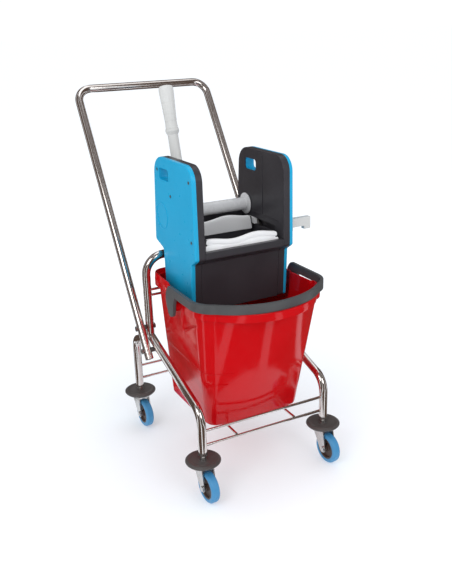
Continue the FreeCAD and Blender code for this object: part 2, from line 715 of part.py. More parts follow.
def side_shell(sign, plate_x, edge_x, thickness):
    """A dished side panel: a plate at plate_x with an edge wall that reaches to edge_x."""
    body = doc.addObject("PartDesign::Body", "Body")
    outline = new_sketch(body, "YZ_Plane", plate_x * sign)
    rounded_path(outline, side_corners(), SIDE_RADII, closed=True)
    outward = float(as_cell(edge_x)) > float(as_cell(plate_x))
    depth = edge_x - plate_x if outward else plate_x - edge_x
    pad(body, outline, depth, reverse=(sign < 0) == outward)
    hole = new_sketch(body, "YZ_Plane", 0.0)
    hand_hole(hole)
    pocket(body, hole)
    dish = doc.addObject("PartDesign::Body", "Body")
    floor = plate_x + thickness if outward else plate_x - thickness
    inner = new_sketch(dish, "YZ_Plane", floor * sign)
    rounded_path(inner, inset_corners(float(as_cell(thickness))), SIDE_RADII_INNER, closed=True)
    pad(dish, inner, depth, reverse=(sign < 0) == outward)
    return cut(body, dish)


def slot_box(sign):
    """Straight guide slot in a side wall for the shoe of the moving jaw."""
    length = S["jaw_travel"] + 32
    start = S["jaw_pin_y"] - S["jaw_travel"] - 16
    x = 100 if sign > 0 else -118
    return box(18, length, 16, x, start, S["jaw_pin_z"] - 8)


SCREWS = ((71, 765), (-114, 760), (-4, 709), (-114, 619), (36, 470), (-74, 470))


def build_housing():
    thickness = S["sheet"]
    inner, joint, face = S["inner_face_x"], S["joint_face_x"], S["cover_face_x"]
    screws = []
    for side, sign in (("left", -1), ("right", 1)):
        wall = side_shell(sign, inner, joint, thickness)
        shaft_hole = cylinder(S["core_diameter"] / 2 + 4, 40, inner * sign - 20, S["shaft_y"], S["shaft_z"], "X")
        wall = cut(wall, slot_box(sign), shaft_hole)
        cover = side_shell(sign, face, joint, thickness)
        bosses = []
        for y, z in SCREWS:
            depth = joint - inner - thickness
            start = inner + thickness if sign > 0 else -joint
            boss = cylinder(5, depth, start, y, z, "X")
            bosses.append(cut(boss, cylinder(2, 60, joint * sign - 30, y, z, "X")))
            post_start = joint if sign > 0 else -face + thickness
            post = cylinder(5, face - joint - thickness, post_start, y, z, "X")
            cover = cut(fuse(cover, post), cylinder(2, 60, joint * sign - 30, y, z, "X"))
            length = face - inner - thickness - 2
            shank = cylinder(2, length, inner + thickness + 2 if sign > 0 else -face, y, z, "X")
            head = cylinder(3.6, 1.2, face if sign > 0 else -face - 1.2, y, z, "X")
            screws.append(fuse(shank, head))
        wall = fuse(wall, *bosses)
        collar_depth = face - inner - thickness * 2 - 0.4
        body = doc.addObject("PartDesign::Body", "Body")
        ring = new_sketch(body, "YZ_Plane", (face - thickness) * sign)
        hand_hole(ring)
        rounded_path(ring, [(1.5, 739.5), (63.5, 739.5), (63.5, 773.5), (1.5, 773.5)], [10.5] * 4, closed=True)
        pad(body, ring, collar_depth, reverse=sign > 0)
        boss_ring = cylinder(34, 1, face if sign > 0 else -face - 1, S["shaft_y"], S["shaft_z"], "X")
        boss_hole = cylinder(31, 1, face if sign > 0 else -face - 1, S["shaft_y"], S["shaft_z"], "X")
        cover = fuse(cover, body, cut(boss_ring, boss_hole))
        node(wall, f"{side}_side_wall")
        node(cover, f"{side}_cover")
    node(group(*screws), "cover_screws")
    build_cross_walls()


def plate_between(profile, half_x):
    """A plate with a Y-Z profile, spanning the gap between the side walls."""
    wire = Part.makePolygon([Vector(-half_x, y, z) for y, z in profile + profile[:1]])
    return Part.Face(wire).extrude(Vector(2 * half_x, 0, 0))


def build_cross_walls():
    """Front apron with its thick upper band, rear wall, strainer floor, and the hooks over the arch."""
    half = float(S["inner_face_x"])
    low, front = float(S["wringer_low_z"]), -float(S["front_face_y"])
    apron = [
        (front + 34, low), (front + 25, low + 125), (front, low + 141), (front, low + 158), (front + 14, low + 158),
        (front + 14, low + 150), (front + 4, low + 148), (front + 4, low + 144), (front + 29, low + 127),
        (front + 38, low + 4), (front + 38, low),
    ]
    node(feature(plate_between(apron, half), "Apron"), "front_apron")
    rear, top = float(S["rear_wall_y"]), float(S["rear_wall_top_z"])
    step = rear - 14
    wall = [
        (step, low), (step + 4, low), (step + 4, low + 122), (rear + 4, low + 130), (rear + 4, top),
        (rear, top), (rear, low + 133), (step, low + 125),
    ]
    node(feature(plate_between(wall, half), "RearWall"), "rear_wall")
    floor = Part.makeBox(2 * half, step - front - 38, 4, Vector(-half, front + 38, low))
    drains = []
    for column in range(9):
        for line in range(5):
            centre = Vector(-88 + 22 * column, front + 54 + 28 * line, low - 1)
            drains.append(Part.makeCylinder(5, 6, centre))
    node(feature(floor.cut(drains), "Floor"), "strainer_floor")
    hooks = []
    arch_y, arch_z = float(S["upright_y"]), float(S["arch_z"])
    reach = float(S["tube_diameter"]) / 2 + 0.4
    outline = [
        (step + 4, low + 4), (step + 18, low + 4), (step + 18, low + 16), (step + 10, low + 30),
        (step + 10, low + 90), (arch_y - reach - 6, arch_z - 8), (arch_y - reach, arch_z - 8), (arch_y - reach, arch_z),
        (arch_y + reach, arch_z), (arch_y + reach, arch_z - 12), (arch_y + reach + 5, arch_z - 12),
        (arch_y + reach + 5, arch_z + 10), (arch_y + reach - 3, arch_z + reach + 5),
        (step + 4, arch_z + reach + 5),
    ]
    tube_room = Part.makeCylinder(reach, 2 * half, Vector(-half, arch_y, arch_z), Vector(1, 0, 0))
    for x in (-62, 62):
        wire = Part.makePolygon([Vector(x - 13, y, z) for y, z in outline + outline[:1]])
        hooks.append(feature(Part.Face(wire).extrude(Vector(26, 0, 0)).cut(tube_room), "Hook"))
    node(group(*hooks), "hanging_hooks")


def wave(x, phase):
    """Height of the wavy upper edge of a jaw at x, in millimetres above its lowest stretch."""
    return 4.0 + 4.0 * math.sin(2 * math.pi * (x - phase) / 130.0)


def wavy_slat(front_y, rear_y, low_z, crest_z, phase, half_x):
    """A slat whose top edge rises and falls along its length."""
    steps = 12
    top = []
    for i in range(steps + 1):
        x = half_x - 2 * half_x * i / steps
        top.append(Vector(x, front_y, crest_z - 8 + wave(x, phase)))
    spline = Part.BSplineCurve()
    spline.interpolate(top)
    start, end = Vector(-half_x, front_y, low_z), Vector(half_x, front_y, low_z)
    wire = Part.Wire([
        Part.LineSegment(start, end).toShape(), Part.LineSegment(end, top[0]).toShape(),
        spline.toShape(), Part.LineSegment(top[-1], start).toShape(),
    ])
    return Part.Face(wire).extrude(Vector(0, rear_y - front_y, 0))


def build_fixed_jaw():
    """White ribbed jaw behind the front apron: two wavy slats on a bar that spans the side walls."""
    half, span = float(S["jaw_half_x"]), float(S["inner_face_x"])
    rear = -105.0
    upper = wavy_slat(rear - 10, rear, 604, 620, 10, half - 3)
    lower = wavy_slat(rear - 11.7, rear - 4, 587, 606, 10, half)
    web = Part.makeBox(2 * half - 8, 6, 36, Vector(4 - half, rear - 8, 577))
    bar = Part.makeBox(2 * span, 9, 9, Vector(-span, rear - 11, 577))
    jaw = upper.fuse([lower, web, bar])
    node(feature(jaw.removeSplitter(), "FixedJaw"), "fixed_jaw")


def build_side_hook():
    """Peg with a turned-down end on the outside of the right cover."""
    face = S["cover_face_x"]
    arm = box(48, 14, 22, face, -119, 616)
    tip = box(18, 14, 30, face + 40, -119, 608)
    flange = box(3, 26, 34, face, -125, 610)
    screw_y, screw_z = SCREWS[3]
    screw_room = cylinder(3.8, 1.5, face, screw_y, screw_z, "X")
    node(cut(fuse(arm, tip, flange), screw_room), "side_hook")


# ---------------------------------------------------------------- press
def cam_slot_points(count=7):
    """Path of the jaw pin seen from the cam plate, so that the jaw moves evenly with the lever."""
    sweep = math.radians(float(S["lever_sweep"]))
    travel = float(S["jaw_travel"])
    start_y = float(S["jaw_pin_y"]) - float(S["shaft_y"])
    drop = float(S["jaw_pin_z"]) - float(S["shaft_z"])
    points = []
    for i in range(count):
        share = i / (count - 1)
        angle = sweep * share
        y = start_y - travel * share
        points.append(Vector(0, y * math.cos(angle) - drop * math.sin(angle),
                             y * math.sin(angle) + drop * math.cos(angle)))
    return points


def band_around(points, radius, thickness):
    """A plate of the given half width along a smooth line, with round ends."""
    spline = Part.BSplineCurve()
    spline.interpolate(points)
    sides = [[], []]
    for i in range(9):
        at = spline.FirstParameter + (spline.LastParameter - spline.FirstParameter) * i / 8
        point = spline.value(at)
        along = spline.tangent(at)[0]
        across = Vector(0, -along.z, along.y) * radius
        sides[0].append(point + across)
        sides[1].append(point - across)
    first, last = Part.BSplineCurve(), Part.BSplineCurve()
    first.interpolate(sides[0])
    last.interpolate(list(reversed(sides[1])))
    tail = spline.value(spline.LastParameter) + spline.tangent(spline.LastParameter)[0] * radius
    nose = spline.value(spline.FirstParameter) - spline.tangent(spline.FirstParameter)[0] * radius
    wire = Part.Wire([
        first.toShape(), Part.Arc(sides[0][-1], tail, sides[1][-1]).toShape(),
        last.toShape(), Part.Arc(sides[1][0], nose, sides[0][0]).toShape(),
    ])
    return Part.Face(wire).extrude(Vector(thickness, 0, 0))


def build_cam_plates():
    """Slotted plates on the shaft ends, inside the side housings."""
    pin = float(S["jaw_pin_diameter"]) / 2 + 0.35
    thickness = float(S["cam_thickness"])
    path = cam_slot_points()
    plates = []
    for sign in (-1, 1):
        arm = band_around(path, pin + float(S["cam_margin"]), thickness)
        neck = band_around([Vector(0, -2, -4), Vector(0, -18, -21), Vector(0, -33, -38)], 16, thickness)
        hub = Part.makeCylinder(25, thickness, Vector(), Vector(1, 0, 0))
        slot = band_around(path, pin, thickness)
        bore = Part.makeCylinder(float(S["core_diameter"]) / 2, thickness, Vector(), Vector(1, 0, 0))
        plate = arm.fuse([neck, hub]).cut([slot, bore])
        start = 113 if sign > 0 else -113 - thickness
        plate.translate(Vector(start, float(S["shaft_y"]), float(S["shaft_z"])))
        plates.append(feature(plate.removeSplitter(), "CamPlate"))
    node(group(*plates), "cam_plates")


def build_shaft():
    y, z = S["shaft_y"], S["shaft_z"]
    core = S["core_diameter"] / 2
    span = S["inner_face_x"] - 1
    sleeve = cylinder(S["bar_diameter"] / 2, span * 2 - 12, -span + 6, y, z, "X")
    node(cut(sleeve, cylinder(core, span * 2, -span, y, z, "X")), "press_bar")
    flanges = []
    for sign in (-1, 1):
        flange = revolve(None, [(core, 0), (18, 0), (27.5, 2), (27.5, 5), (26, 6), (core, 6)],
                         [0, 0, 1, 1, 0, 0])
        facing = Rotation(Vector(0, 1, 0), 90 if sign > 0 else -90)
        flange.Placement = Placement(Vector((float(span) - 6) * sign, float(y), float(z)), facing)
        flanges.append(flange)
    node(group(*flanges), "bar_flanges")
    node(cylinder(core, 242, -121, y, z, "X"), "shaft_core")
    bushes, nuts = [], []
    for sign in (-1, 1):
        start = S["inner_face_x"] - 0.4 if sign > 0 else -S["inner_face_x"] - 4.4
        bush = fuse(cylinder(core + 4, 4.8, start, y, z, "X"),
                    cylinder(core + 7, 1.4, 110 if sign > 0 else -111.4, y, z, "X"))
        bushes.append(cut(bush, cylinder(core + 0.05, 30, start - 10, y, z, "X")))
        nut = cylinder(core + 4, 2.6, 118.2 if sign > 0 else -120.8, y, z, "X")
        nuts.append(cut(nut, cylinder(core, 30, start - 10 if sign > 0 else start - 20, y, z, "X")))
    node(group(*bushes), "shaft_bushes")
    node(group(*nuts), "shaft_rings")


def lean_lever(piece, label):
    """Stand a piece built along Z on the shaft axis and lean it back."""
    piece.Placement = Placement(Vector(-float(S["lever_x"]), float(S["shaft_y"]), float(S["shaft_z"])),
                                Rotation(Vector(1, 0, 0), -float(S["lever_lean"])))
    node(piece, label)


def build_lever():
    """Hub clamped on the bar, tapered arm, collar and moulded grip."""
    bar = S["bar_diameter"] / 2
    hub = cut(cylinder(bar + 6, 34, -17, 0, 0, "X"), cylinder(bar, 60, -30, 0, 0, "X"))
    arm = revolve(None, [
        (0, bar), (15, bar), (14, 60), (13.2, 195), (17.3, 203), (17.3, 209), (0, 209),
    ], [0, 0, 0, 3, 1.5, 1.5, 0])
    clamp_screw = cylinder(3, 9, 0, 0, -bar - 9)
    base = fuse(hub, clamp_screw, cut(arm, cylinder(bar + 0.001, 60, -30, 0, 0, "X")))
    lean_lever(base, "lever_arm")
    grip = revolve(None, [
        (0, 209), (15.8, 209), (14.8, 222), (16.6, 262), (18.6, 300), (17.5, S["lever_length"]),
        (0, S["lever_length"]),
    ], [0, 1, 20, 60, 12, 5, 0])
    lean_lever(grip, "lever_grip")


def build_moving_jaw():
    """White jaw on a dark carrier, with guide shoes and pins that run in the side housings."""
    pin_y, pin_z = float(S["jaw_pin_y"]), float(S["jaw_pin_z"])
    half = float(S["jaw_half_x"])
    slat = wavy_slat(pin_y - 10, pin_y + 1, 591, 634, -5, half)
    node(feature(slat, "MovingJaw"), "moving_jaw")
    carrier = Part.makeBox(2 * half + 8, 5, 62, Vector(-half - 4, pin_y + 1, 560))
    ribs = [Part.makeBox(4, 8, 50, Vector(x - 2, pin_y - 7, 541)) for x in range(-90, 91, 30)]
    plate = Part.makeBox(2 * half - 8, 8, 32, Vector(4 - half, pin_y - 7, 559))
    node(feature(carrier.fuse([plate] + ribs).removeSplitter(), "Carrier"), "jaw_carrier")
    shoes, pins = [], []
    for sign in (-1, 1):
        outer = 111.5
        x = half + 4 if sign > 0 else -outer
        shoe = box(outer - half - 4, 30, 15.4, x, S["jaw_pin_y"] - 15, S["jaw_pin_z"] - 7.7)
        shoes.append(shoe)
        pins.append(cylinder(S["jaw_pin_diameter"] / 2, 9, outer if sign > 0 else -outer - 9,
                             S["jaw_pin_y"], S["jaw_pin_z"], "X"))
    node(group(*shoes), "jaw_shoes")
    node(group(*pins), "jaw_pins")


# ---------------------------------------------------------------- assembly
arch_tool, rail_tools = build_frame()
build_push_handle(arch_tool, rail_tools)
build_castors()
build_bucket()
build_bail()
build_housing()
build_fixed_jaw()
build_side_hook()
build_cam_plates()
build_shaft()
build_lever()
build_moving_jaw()
doc.recompute()


def check_document():
    for thing in doc.Objects:
        if any(state in ("Invalid", "Error") for state in thing.State):
            raise RuntimeError(f"{thing.Label} ({thing.Name}) failed: {thing.State}")
    for thing in NODES:
        shape = thing.Shape
        if shape.isNull() or not shape.isValid() or not shape.Solids:
            raise RuntimeError(f"{thing.Label} has no valid solid")


check_document()
for thing in NODES:
    thing.Shape.exportStep(f"parts/{thing.Label}.step")
    low, high = thing.Shape.BoundBox, thing.Shape.Volume
    print(f"{thing.Label:20s} solids {len(thing.Shape.Solids):2d} volume {high / 1000:9.1f} cm3 "
          f"x {low.XMin:7.1f} {low.XMax:7.1f} y {low.YMin:7.1f} {low.YMax:7.1f} z {low.ZMin:7.1f} {low.ZMax:7.1f}")
print(len(NODES), "nodes")
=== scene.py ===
"""Looks of the mopping trolley: finishes, fine pieces, edge rounding, studio and camera.

Sizes of pieces are in millimetres in the row's frame; shift() turns points into metres.
"""
import json
import math

import bmesh
import bpy
from mathutils import Matrix, Vector


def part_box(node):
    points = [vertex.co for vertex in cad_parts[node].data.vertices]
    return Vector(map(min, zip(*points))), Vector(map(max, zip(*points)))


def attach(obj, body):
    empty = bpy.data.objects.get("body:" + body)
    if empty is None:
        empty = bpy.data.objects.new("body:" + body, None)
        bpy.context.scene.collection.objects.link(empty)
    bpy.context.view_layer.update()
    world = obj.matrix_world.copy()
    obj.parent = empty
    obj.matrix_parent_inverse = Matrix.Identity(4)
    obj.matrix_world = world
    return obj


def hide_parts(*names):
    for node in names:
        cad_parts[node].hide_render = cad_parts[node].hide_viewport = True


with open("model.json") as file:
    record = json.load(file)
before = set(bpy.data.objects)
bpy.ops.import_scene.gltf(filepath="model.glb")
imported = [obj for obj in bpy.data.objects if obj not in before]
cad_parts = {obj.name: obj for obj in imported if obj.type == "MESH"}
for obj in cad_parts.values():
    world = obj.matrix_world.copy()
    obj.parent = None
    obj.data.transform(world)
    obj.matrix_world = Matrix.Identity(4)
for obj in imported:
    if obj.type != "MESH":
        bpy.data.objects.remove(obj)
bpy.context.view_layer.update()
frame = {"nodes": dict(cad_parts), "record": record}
MM = 0.001


def middle_y(node):
    low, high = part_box(node)
    return (low[1] + high[1]) / 2


# Y of the middle of the wheelbase, from which the outlines below are measured
WHEELBASE_Y = (middle_y("front_rods") + middle_y("rear_rods")) / 2


def shift(x, y, z):
    return Vector((x * MM, y * MM + WHEELBASE_Y, z * MM))


# ---------------------------------------------------------------- finishes
def new_material(name):
    material = bpy.data.materials.new(name)
    material.use_nodes = True
    tree = material.node_tree
    return material, tree, tree.nodes["Principled BSDF"]


def noise(tree, scale, detail=3.0, roughness=0.5, distortion=0.0):
    """A noise texture in the piece's own coordinates."""
    place = tree.nodes.new("ShaderNodeTexCoord")
    texture = tree.nodes.new("ShaderNodeTexNoise")
    texture.inputs["Scale"].default_value = scale
    texture.inputs["Detail"].default_value = detail
    texture.inputs["Roughness"].default_value = roughness
    texture.inputs["Distortion"].default_value = distortion
    tree.links.new(place.outputs["Object"], texture.inputs["Vector"])
    return texture.outputs["Fac"]


def span(tree, source, low, high, from_low=0.3, from_high=0.7):
    node = tree.nodes.new("ShaderNodeMapRange")
    node.inputs["From Min"].default_value = from_low
    node.inputs["From Max"].default_value = from_high
    node.inputs["To Min"].default_value = low
    node.inputs["To Max"].default_value = high
    tree.links.new(source, node.inputs["Value"])
    return node.outputs["Result"]


def mixed_colour(tree, source, first, second):
    node = tree.nodes.new("ShaderNodeMix")
    node.data_type = "RGBA"
    node.inputs["A"].default_value = (*first, 1)
    node.inputs["B"].default_value = (*second, 1)
    tree.links.new(source, node.inputs["Factor"])
    return node.outputs["Result"]


def bump(tree, shader, source, strength, distance):
    node = tree.nodes.new("ShaderNodeBump")
    node.inputs["Strength"].default_value = strength
    node.inputs["Distance"].default_value = distance
    tree.links.new(source, node.inputs["Height"])
    tree.links.new(node.outputs["Normal"], shader.inputs["Normal"])


def plastic(name, colour, shade, rough, grain, grain_depth, coat=0.0, specular=0.5):
    """Moulded plastic: cloudy colour, uneven gloss, fine grain."""
    material, tree, shader = new_material(name)
    clouds = span(tree, noise(tree, 9, 4), 0, 1)
    tree.links.new(mixed_colour(tree, clouds, colour, shade), shader.inputs["Base Color"])
    wear = span(tree, noise(tree, 38, 6, 0.65, 0.4), rough - 0.04, rough + 0.06)
    tree.links.new(wear, shader.inputs["Roughness"])
    shader.inputs["Specular IOR Level"].default_value = specular
    shader.inputs["Coat Weight"].default_value = coat
    shader.inputs["Coat Roughness"].default_value = 0.08
    bump(tree, shader, noise(tree, grain, 2), grain_depth, 0.0004)
    return material


def metal(name, colour, shade, rough, grain, grain_depth, wear_range=0.08):
    """Metal with a cloudy tint and uneven gloss."""
    material, tree, shader = new_material(name)
    shader.inputs["Metallic"].default_value = 1.0
    clouds = span(tree, noise(tree, 26, 5, 0.6), 0, 1)
    tree.links.new(mixed_colour(tree, clouds, colour, shade), shader.inputs["Base Color"])
    wear = span(tree, noise(tree, 70, 6, 0.7, 0.6), rough, rough + wear_range)
    tree.links.new(wear, shader.inputs["Roughness"])
    bump(tree, shader, noise(tree, grain, 3), grain_depth, 0.0003)
    return material


FINISHES = {
    "chrome": metal("chrome", (0.78, 0.75, 0.73), (0.66, 0.62, 0.59), 0.10, 40, 0.002, 0.02),
    "bolt_steel": metal("bolt_steel", (0.42, 0.40, 0.38), (0.30, 0.28, 0.26), 0.28, 400, 0.2),
    "castor_zinc": metal("castor_zinc", (0.66, 0.66, 0.65), (0.52, 0.51, 0.50), 0.24, 300, 0.15),
    "disc_plastic": plastic(
        "disc_plastic", (0.062, 0.054, 0.052), (0.085, 0.076, 0.073), 0.42, 900, 0.25),
    "hub_plastic": plastic(
        "hub_plastic", (0.040, 0.022, 0.016), (0.065, 0.038, 0.028), 0.45, 700, 0.2),
    "tyre_rubber": plastic(
        "tyre_rubber", (0.045, 0.235, 0.470), (0.065, 0.290, 0.530), 0.42, 800, 0.25),
    "bucket_red": plastic(
        "bucket_red", (0.520, 0.003, 0.006), (0.480, 0.002, 0.004), 0.11, 500, 0.02, specular=0.30),
    "charcoal_plastic": plastic(
        "charcoal_plastic", (0.032, 0.030, 0.035), (0.042, 0.040, 0.046), 0.36, 1100, 0.3, specular=0.35),
    "bail_plastic": plastic(
        "bail_plastic", (0.062, 0.064, 0.066), (0.078, 0.080, 0.082), 0.40, 1000, 0.25),
    "cover_blue": plastic(
        "cover_blue", (0.006, 0.345, 0.600), (0.010, 0.375, 0.640), 0.30, 700, 0.10, specular=0.35),
    # white_plastic is painted lighter than the same plastic on the lever: painted light for the jaws in the
    # housing's shade
    "white_plastic": plastic(
        "white_plastic", (0.860, 0.860, 0.865), (0.810, 0.810, 0.815), 0.38, 700, 0.15),
    # darker copy of the white plastic for the lever, grip and hook: painted shade against the strong light on
    # them
    "lever_white_painted_shade": plastic(
        "lever_white_painted_shade", (0.600, 0.600, 0.585), (0.550, 0.550, 0.535), 0.40, 700, 0.15, specular=0.3),
    "bar_grey": plastic(
        "bar_grey", (0.700, 0.700, 0.705), (0.650, 0.652, 0.660), 0.26, 500, 0.08, coat=0.2),
}


def paint(piece, finish):
    piece.data.materials.clear()
    piece.data.materials.append(FINISHES[finish])


# CAD nodes whose finish differs from the one of their material slot; the lever and hook get a darker copy of
# the white plastic, painted shade for their brightly lit place
OWN_FINISHES = {
    "bail": "bail_plastic", "bail_pins": "bail_plastic",
    "lever_arm": "lever_white_painted_shade", "side_hook": "lever_white_painted_shade",
}


def paint_nodes():
    """Give each CAD node the finish of its material slot, or its own."""
    slots = {part["node"]: part["material_slot"] for part in frame["record"]["subparts"]}
    for name, piece in frame["nodes"].items():
        paint(piece, OWN_FINISHES.get(name, slots[name]))


paint_nodes()


# ---------------------------------------------------------------- mesh helpers
def smooth_by_angle(mesh, degrees=28):
    for face in mesh.polygons:
        face.use_smooth = True
    mesh.set_sharp_from_angle(angle=math.radians(degrees))


def weighted_normals(piece):
    modifier = piece.modifiers.new("normals", "WEIGHTED_NORMAL")
    modifier.keep_sharp = True
    modifier.weight = 90


def make_piece(name, points, faces, finish, body, node=None, degrees=28):
    mesh = bpy.data.meshes.new(name)
    mesh.from_pydata(points, [], faces)
    work = bmesh.new()
    work.from_mesh(mesh)
    bmesh.ops.remove_doubles(work, verts=work.verts, dist=0.00001)
    bmesh.ops.recalc_face_normals(work, faces=work.faces)
    work.to_mesh(mesh)
    work.free()
    smooth_by_angle(mesh, degrees)
    piece = bpy.data.objects.new(name, mesh)
    bpy.context.collection.objects.link(piece)
    piece.data.materials.append(FINISHES[finish])
    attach(piece, body)
    if node:
        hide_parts(node)
    return piece


def loft(rings, close_ends=True):
    """Quads between rings of equal length, closed at both ends."""
    count = len(rings[0])
    points = [point for ring in rings for point in ring]
    faces = []
    for level in range(len(rings) - 1):
        for i in range(count):
            j = (i + 1) % count
            low, high = level * count, (level + 1) * count
            faces.append((low + i, low + j, high + j, high + i))
    if close_ends:
        faces.append(tuple(range(count - 1, -1, -1)))
        faces.append(tuple(range((len(rings) - 1) * count, len(rings) * count)))
    return points, faces


def append_part(points, faces, more_points, more_faces):
    """Add a closed part to a mesh's points and faces."""
    start = len(points)
    points += more_points
    faces += [tuple(start + i for i in face) for face in more_faces]


def ease(value, start, end):
    """0 before start, 1 after end, smooth between them."""
    share = min(1.0, max(0.0, (value - start) / (end - start)))
    return share * share * (3 - 2 * share)


def blend(first, second, share):
    return first + (second - first) * share


# ---------------------------------------------------------------- bucket
# half widths in front and at the rear, reach of the nose, the shoulders and the back, corner radii
BASE = {
    "front": 130, "rear": 131, "nose": 173, "shoulder": 133, "round": 34, "back": 84, "rear_round": 28,
}
BRIM = {
    "front": 166, "rear": 152, "nose": 284, "shoulder": 178, "round": 60, "back": 88, "rear_round": 28,
}
SKIRT = {
    "front": 169.5, "rear": 158, "nose": 300, "shoulder": 178, "round": 66, "back": 104, "rear_round": 34,
}
BASE_Z, BRIM_Z, WALL = 152.0, 490.0, 3.0
CORNER_TURN = math.radians(62)
FOOT_ROUND = 6.0  # radius between the foot and the wall
POCKET_DEPTH = 5.5
STEP_DEPTH, STEP_Z = 0.5, 307  # below this height the sides are drawn in by the step
DRAW = 5.0  # inset of the second outline, along which the wall is drawn in
BOSS_ROUND = 0.016  # radius of the bail's pivot bosses in metres
# height, left end and right end of each graduation mark
MARKS = ((312, -150, -83), (280, -141, -92))


def arc_points(centre, radius, start, end, count):
    for i in range(count):
        angle = start + (end - start) * i / count
        yield centre[0] + radius * math.cos(angle), centre[1] + radius * math.sin(angle)


def line_points(start, end, count):
    for i in range(count):
        yield blend(start[0], end[0], i / count), blend(start[1], end[1], i / count)


def plan_ring(size, inset=0.0):
    """Closed plan outline of the bucket: bowed nose, shoulders, sides, rear corners."""
    front, rear = size["front"] - inset, size["rear"] - inset
    nose, back = size["nose"] - inset, size["back"] - inset
    bend, rear_bend = size["round"] - inset, size["rear_round"] - inset
    centre = (front - bend, -size["shoulder"])
    corner = (centre[0] + bend * math.cos(CORNER_TURN), centre[1] - bend * math.sin(CORNER_TURN))
    sagitta = nose + corner[1]
    bow = (corner[0] ** 2 + sagitta ** 2) / (2 * sagitta)
    opening = math.asin(corner[0] / bow)
    down = -math.pi / 2
    half = list(arc_points((0, bow - nose), bow, down, down + opening, 26))
    half += arc_points(centre, bend, -CORNER_TURN, 0, 16)
    half += line_points((front, -size["shoulder"]), (rear, back - rear_bend), 64)
    half += arc_points((rear - rear_bend, back - rear_bend), rear_bend, 0, math.pi / 2, 14)
    half += line_points((rear - rear_bend, back), (0, back), 10)
    half.append((0, back))
    return half + [(-x, y) for x, y in reversed(half[1:-1])]


def pocket_depth(y, z):
    """Shallow hand recess under the side flange, with a slanting lower edge."""
    lowest = 402 + 0.443 * (-98 - y)
    along = ease(y, -176, -172) * (1 - ease(y, -84, -78))
    up = ease(z, lowest - 2, lowest + 2)
    return POCKET_DEPTH * along * up


def wall_ring(z, inset):
    """Wall outline at a height; the pocket, the step and the foot draw it in a little more."""
    share = (z - BASE_Z) / (BRIM_Z - BASE_Z)
    plain = list(zip(plan_ring(BASE, inset), plan_ring(BRIM, inset)))
    drawn = list(zip(plan_ring(BASE, inset + DRAW), plan_ring(BRIM, inset + DRAW)))
    ring = []
    for (base, brim), (base_in, brim_in) in zip(plain, drawn):
        outer = (blend(base[0], brim[0], share), blend(base[1], brim[1], share))
        inner = (blend(base_in[0], brim_in[0], share), blend(base_in[1], brim_in[1], share))
        side = ease(abs(outer[0]), 120, 140)
        step = STEP_DEPTH * (1 - ease(z, STEP_Z, STEP_Z + 3))
        drawn_in = (pocket_depth(outer[1], z) + step) * side / DRAW
        ring.append((blend(outer[0], inner[0], drawn_in), blend(outer[1], inner[1], drawn_in), z))
    return ring


def rim_ring(size, inset, height):
    """A ring of the rim; height is a number or a function of y."""
    return [(x, y, height(y) if callable(height) else height) for x, y in plan_ring(size, inset)]


def skirt_low(y):
    """The skirt hangs low round the nose and the rear, and is a narrow flange along the sides."""
    return 464 + 11.5 * ease(y, -178, -175) * (1 - ease(y, -30, -22))


def rim_top(y):
    return 484 + 15 * ease(y, -24, -18)


def bucket_rings():
    """Rings from the foot up the outside, over the rim and down the inside."""
    rings = [rim_ring(BASE, FOOT_ROUND + 8, BASE_Z)]
    for i in range(6):
        angle = math.pi / 2 * i / 5
        z = BASE_Z + FOOT_ROUND * (1 - math.cos(angle))
        rings.append(wall_ring(z, FOOT_ROUND * (1 - math.sin(angle))))
    levels = [170 + 14 * i for i in range(10)] + [306, 308, 309, 310, 312]
    levels += [325 + 14 * i for i in range(6)] + [396 + 3 * i for i in range(24)]
    rings += [wall_ring(z, 0) for z in levels]
    rings.append(wall_ring(467, 0))
    rings += [
        [(x, y, max(472, skirt_low(y) + 3)) for x, y, z in wall_ring(473, 0)],
        rim_ring(SKIRT, 2.6, lambda y: max(472, skirt_low(y) + 3)),
        rim_ring(SKIRT, 2.3, lambda y: skirt_low(y) + 0.8),
        rim_ring(SKIRT, 1.4, skirt_low),
        rim_ring(SKIRT, 0.4, lambda y: skirt_low(y) + 0.4),
        rim_ring(SKIRT, 0.0, lambda y: skirt_low(y) + 1.4),
        rim_ring(SKIRT, 0.0, lambda y: (skirt_low(y) + rim_top(y)) / 2),
        rim_ring(SKIRT, 0.0, lambda y: 481),
        rim_ring(SKIRT, 0.3, lambda y: blend(482.6, 484.6, ease(y, -24, -18))),
        rim_ring(SKIRT, 1.5, lambda y: blend(483.8, 497.4, ease(y, -24, -18))),
        rim_ring(SKIRT, 2.2, lambda y: blend(484, 498.7, ease(y, -24, -18))),
        rim_ring(SKIRT, 3.0, rim_top),
        rim_ring(SKIRT, 3.8, lambda y: blend(484, 498.7, ease(y, -24, -18))),
        rim_ring(SKIRT, 4.5, lambda y: blend(484, 497.2, ease(y, -24, -18))),
    ]
    rings += [
        [(x, y, 484.2) for x, y, z in wall_ring(484, -0.4)],
        wall_ring(486, 0), wall_ring(489, 0), wall_ring(489.8, 0.5), wall_ring(490, 1.4),
        wall_ring(489.8, 2.4), wall_ring(489, WALL),
    ]
    inner_levels = [480, 472] + [465 - 3 * i for i in range(24)] + [380 - 16 * i for i in range(5)]
    inner_levels += [312, 310, 309, 308, 306] + [292 - 18 * i for i in range(7)]
    rings += [wall_ring(z, WALL) for z in inner_levels]
    for i in range(6):
        angle = math.pi / 2 * i / 5
        z = BASE_Z + WALL + FOOT_ROUND * (1 - math.sin(angle))
        rings.append(wall_ring(z, WALL + FOOT_ROUND * (1 - math.cos(angle))))
    rings.append(rim_ring(BASE, WALL + FOOT_ROUND + 8, BASE_Z + WALL))
    return [[shift(*point) for point in ring] for ring in rings]


